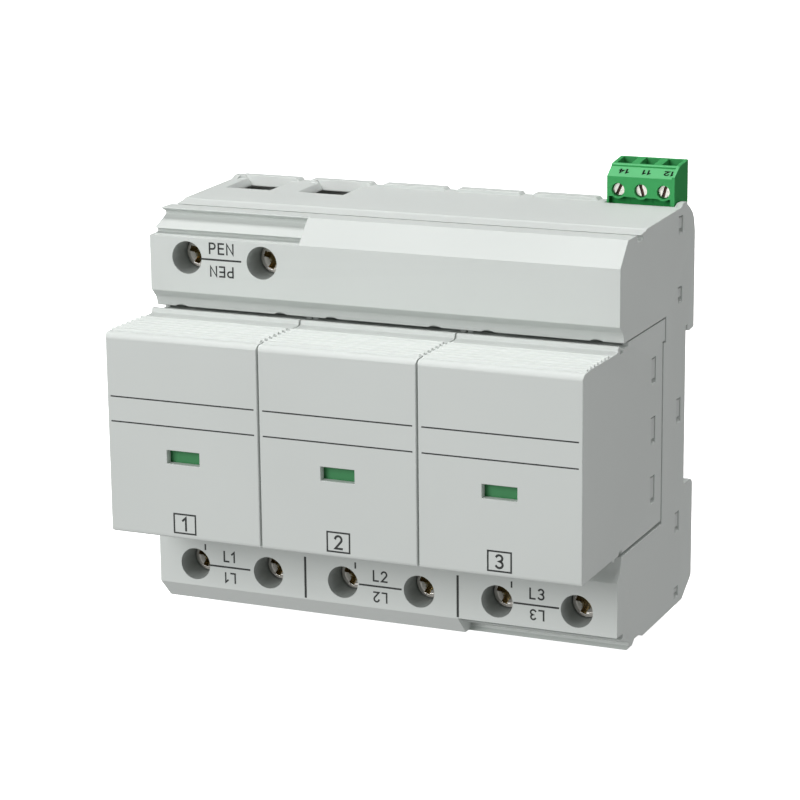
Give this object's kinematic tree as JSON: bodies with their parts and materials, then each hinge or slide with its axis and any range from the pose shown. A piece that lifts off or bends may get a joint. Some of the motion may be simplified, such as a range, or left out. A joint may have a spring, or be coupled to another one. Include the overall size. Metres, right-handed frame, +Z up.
{
  "type": "din rail surge arrester",
  "caption": "Light grey rail-mounted surge arrester with plug-in modules, screw terminals above and below, status windows and a green pluggable signal terminal.",
  "frame": {"origin": "on the mounting rail's centre line, in the plane where the base sits on the rail, midway along the case", "axes": "+Z up, the front faces -Y, X runs along the rail, +Y points from the rail seat into the rail"},
  "size_m": [0.1068, 0.0704, 0.1],
  "materials": {
    "case_grey": "fine matt moulded",
    "back_grey": "matt moulded",
    "copper": "plain rolled copper",
    "tinned_bronze": "tinned",
    "board_green": "solder resist",
    "switch_black": "matt moulded",
    "plug_green": "satin moulded",
    "latch_dark": "matt moulded",
    "screw_steel": "plated",
    "clamp_steel": "zinc plated",
    "chamber_cream": "matt moulded",
    "flag_green": "satin"
  },
  "bodies": {
    "base": {"base_housing": "case_grey", "base_rear_plate": "back_grey", "pen_busbar": "copper", "line_bar_1": "copper", "line_bar_2": "copper", "line_bar_3": "copper", "pen_fork_1": "tinned_bronze", "pen_fork_2": "tinned_bronze", "pen_fork_3": "tinned_bronze", "line_fork_1": "tinned_bronze", "line_fork_2": "tinned_bronze", "line_fork_3": "tinned_bronze", "signal_board": "board_green", "signal_switch": "switch_black", "plug_header": "plug_green", "header_pins": "tinned_bronze"},
    "plug": {"plug_housing": "plug_green", "plug_contacts": "tinned_bronze"},
    "rail_latch_left": {"rail_latch_left": "latch_dark"},
    "rail_latch_right": {"rail_latch_right": "latch_dark"},
    "screw_pen_1": {"screw_pen_1": "screw_steel"},
    "screw_pen_2": {"screw_pen_2": "screw_steel"},
    "screw_line_1": {"screw_line_1": "screw_steel"},
    "screw_line_2": {"screw_line_2": "screw_steel"},
    "screw_line_3": {"screw_line_3": "screw_steel"},
    "screw_line_4": {"screw_line_4": "screw_steel"},
    "screw_line_5": {"screw_line_5": "screw_steel"},
    "screw_line_6": {"screw_line_6": "screw_steel"},
    "clamp_pen_1": {"clamp_pen_1": "clamp_steel"},
    "clamp_pen_2": {"clamp_pen_2": "clamp_steel"},
    "clamp_line_1": {"clamp_line_1": "clamp_steel"},
    "clamp_line_2": {"clamp_line_2": "clamp_steel"},
    "clamp_line_3": {"clamp_line_3": "clamp_steel"},
    "clamp_line_4": {"clamp_line_4": "clamp_steel"},
    "clamp_line_5": {"clamp_line_5": "clamp_steel"},
    "clamp_line_6": {"clamp_line_6": "clamp_steel"},
    "plug_screw_1": {"plug_screw_1": "screw_steel"},
    "plug_screw_2": {"plug_screw_2": "screw_steel"},
    "plug_screw_3": {"plug_screw_3": "screw_steel"},
    "plug_clamp_1": {"plug_clamp_1": "clamp_steel"},
    "plug_clamp_2": {"plug_clamp_2": "clamp_steel"},
    "plug_clamp_3": {"plug_clamp_3": "clamp_steel"},
    "status_flag_1": {"status_flag_1": "flag_green"},
    "status_flag_2": {"status_flag_2": "flag_green"},
    "status_flag_3": {"status_flag_3": "flag_green"},
    "module_1": {"module_housing_1": "case_grey", "module_back_1": "back_grey", "pen_electrode_1": "copper", "line_electrode_1": "copper", "arc_chamber_1": "chamber_cream"},
    "module_2": {"module_housing_2": "case_grey", "module_back_2": "back_grey", "pen_electrode_2": "copper", "line_electrode_2": "copper", "arc_chamber_2": "chamber_cream"},
    "module_3": {"module_housing_3": "case_grey", "module_back_3": "back_grey", "pen_electrode_3": "copper", "line_electrode_3": "copper", "arc_chamber_3": "chamber_cream"}
  },
  "joints": [
    {"name": "module_1_pull", "type": "slide", "parent": "base", "child": "module_1", "axis": [0, -1, 0], "range_m": [0, 0.05]},
    {"name": "status_flag_1_lift", "type": "slide", "parent": "module_1", "child": "status_flag_1", "axis": [0, 0, 1], "range_m": [0, 0.0038]},
    {"name": "module_2_pull", "type": "slide", "parent": "base", "child": "module_2", "axis": [0, -1, 0], "range_m": [0, 0.05]},
    {"name": "status_flag_2_lift", "type": "slide", "parent": "module_2", "child": "status_flag_2", "axis": [0, 0, 1], "range_m": [0, 0.0038]},
    {"name": "module_3_pull", "type": "slide", "parent": "base", "child": "module_3", "axis": [0, -1, 0], "range_m": [0, 0.05]},
    {"name": "status_flag_3_lift", "type": "slide", "parent": "module_3", "child": "status_flag_3", "axis": [0, 0, 1], "range_m": [0, 0.0038]},
    {"name": "plug_pull", "type": "slide", "parent": "base", "child": "plug", "axis": [0, 0, 1], "range_m": [0, 0.014]},
    {"name": "rail_latch_left_draw", "type": "slide", "parent": "base", "child": "rail_latch_left", "axis": [0, 0, -1], "range_m": [0, 0.0025], "stiffness_N_per_m": 2000, "springref_m": -0.003},
    {"name": "rail_latch_right_draw", "type": "slide", "parent": "base", "child": "rail_latch_right", "axis": [0, 0, -1], "range_m": [0, 0.0025], "stiffness_N_per_m": 2000, "springref_m": -0.003},
    {"name": "screw_pen_1_turn", "type": "hinge", "parent": "base", "child": "screw_pen_1", "pos_m": [-0.0445, -0.0371, 0.0338], "axis": [0, 1, 0], "range_deg": [0, 3240.5]},
    {"name": "clamp_pen_1_draw", "type": "slide", "parent": "base", "child": "clamp_pen_1", "axis": [0, -1, 0], "range_m": [0, 0.0072]},
    {"name": "screw_pen_2_turn", "type": "hinge", "parent": "base", "child": "screw_pen_2", "pos_m": [-0.0267, -0.0371, 0.0338], "axis": [0, 1, 0], "range_deg": [0, 3240.5]},
    {"name": "clamp_pen_2_draw", "type": "slide", "parent": "base", "child": "clamp_pen_2", "axis": [0, -1, 0], "range_m": [0, 0.0072]},
    {"name": "screw_line_1_turn", "type": "hinge", "parent": "base", "child": "screw_line_1", "pos_m": [-0.0445, -0.0371, -0.0347], "axis": [0, 1, 0], "range_deg": [0, 3240.5]},
    {"name": "clamp_line_1_draw", "type": "slide", "parent": "base", "child": "clamp_line_1", "axis": [0, -1, 0], "range_m": [0, 0.0072]},
    {"name": "screw_line_2_turn", "type": "hinge", "parent": "base", "child": "screw_line_2", "pos_m": [-0.0267, -0.0371, -0.0347], "axis": [0, 1, 0], "range_deg": [0, 3240.5]},
    {"name": "clamp_line_2_draw", "type": "slide", "parent": "base", "child": "clamp_line_2", "axis": [0, -1, 0], "range_m": [0, 0.0072]},
    {"name": "screw_line_3_turn", "type": "hinge", "parent": "base", "child": "screw_line_3", "pos_m": [-0.0089, -0.0371, -0.0347], "axis": [0, 1, 0], "range_deg": [0, 3240.5]},
    {"name": "clamp_line_3_draw", "type": "slide", "parent": "base", "child": "clamp_line_3", "axis": [0, -1, 0], "range_m": [0, 0.0072]},
    {"name": "screw_line_4_turn", "type": "hinge", "parent": "base", "child": "screw_line_4", "pos_m": [0.0089, -0.0371, -0.0347], "axis": [0, 1, 0], "range_deg": [0, 3240.5]},
    {"name": "clamp_line_4_draw", "type": "slide", "parent": "base", "child": "clamp_line_4", "axis": [0, -1, 0], "range_m": [0, 0.0072]},
    {"name": "screw_line_5_turn", "type": "hinge", "parent": "base", "child": "screw_line_5", "pos_m": [0.0267, -0.0371, -0.0347], "axis": [0, 1, 0], "range_deg": [0, 3240.5]},
    {"name": "clamp_line_5_draw", "type": "slide", "parent": "base", "child": "clamp_line_5", "axis": [0, -1, 0], "range_m": [0, 0.0072]},
    {"name": "screw_line_6_turn", "type": "hinge", "parent": "base", "child": "screw_line_6", "pos_m": [0.0445, -0.0371, -0.0347], "axis": [0, 1, 0], "range_deg": [0, 3240.5]},
    {"name": "clamp_line_6_draw", "type": "slide", "parent": "base", "child": "clamp_line_6", "axis": [0, -1, 0], "range_m": [0, 0.0072]},
    {"name": "plug_screw_1_turn", "type": "hinge", "parent": "plug", "child": "plug_screw_1", "pos_m": [0.03902, -0.0031, 0.0471], "axis": [0, 1, 0], "range_deg": [0, 1080.5]},
    {"name": "plug_clamp_1_draw", "type": "slide", "parent": "plug", "child": "plug_clamp_1", "axis": [0, -1, 0], "range_m": [0, 0.0015]},
    {"name": "plug_screw_2_turn", "type": "hinge", "parent": "plug", "child": "plug_screw_2", "pos_m": [0.0441, -0.0031, 0.0471], "axis": [0, 1, 0], "range_deg": [0, 1080.5]},
    {"name": "plug_clamp_2_draw", "type": "slide", "parent": "plug", "child": "plug_clamp_2", "axis": [0, -1, 0], "range_m": [0, 0.0015]},
    {"name": "plug_screw_3_turn", "type": "hinge", "parent": "plug", "child": "plug_screw_3", "pos_m": [0.04918, -0.0031, 0.0471], "axis": [0, 1, 0], "range_deg": [0, 1080.5]},
    {"name": "plug_clamp_3_draw", "type": "slide", "parent": "plug", "child": "plug_clamp_3", "axis": [0, -1, 0], "range_m": [0, 0.0015]}
  ],
  "couplings": [
    {"joint": "screw_pen_1_turn", "follows": "clamp_pen_1_draw", "rad_per_m": 7854},
    {"joint": "screw_pen_2_turn", "follows": "clamp_pen_2_draw", "rad_per_m": 7854},
    {"joint": "screw_line_1_turn", "follows": "clamp_line_1_draw", "rad_per_m": 7854},
    {"joint": "screw_line_2_turn", "follows": "clamp_line_2_draw", "rad_per_m": 7854},
    {"joint": "screw_line_3_turn", "follows": "clamp_line_3_draw", "rad_per_m": 7854},
    {"joint": "screw_line_4_turn", "follows": "clamp_line_4_draw", "rad_per_m": 7854},
    {"joint": "screw_line_5_turn", "follows": "clamp_line_5_draw", "rad_per_m": 7854},
    {"joint": "screw_line_6_turn", "follows": "clamp_line_6_draw", "rad_per_m": 7854},
    {"joint": "plug_screw_1_turn", "follows": "plug_clamp_1_draw", "rad_per_m": 12566},
    {"joint": "plug_screw_2_turn", "follows": "plug_clamp_2_draw", "rad_per_m": 12566},
    {"joint": "plug_screw_3_turn", "follows": "plug_clamp_3_draw", "rad_per_m": 12566}
  ]
}
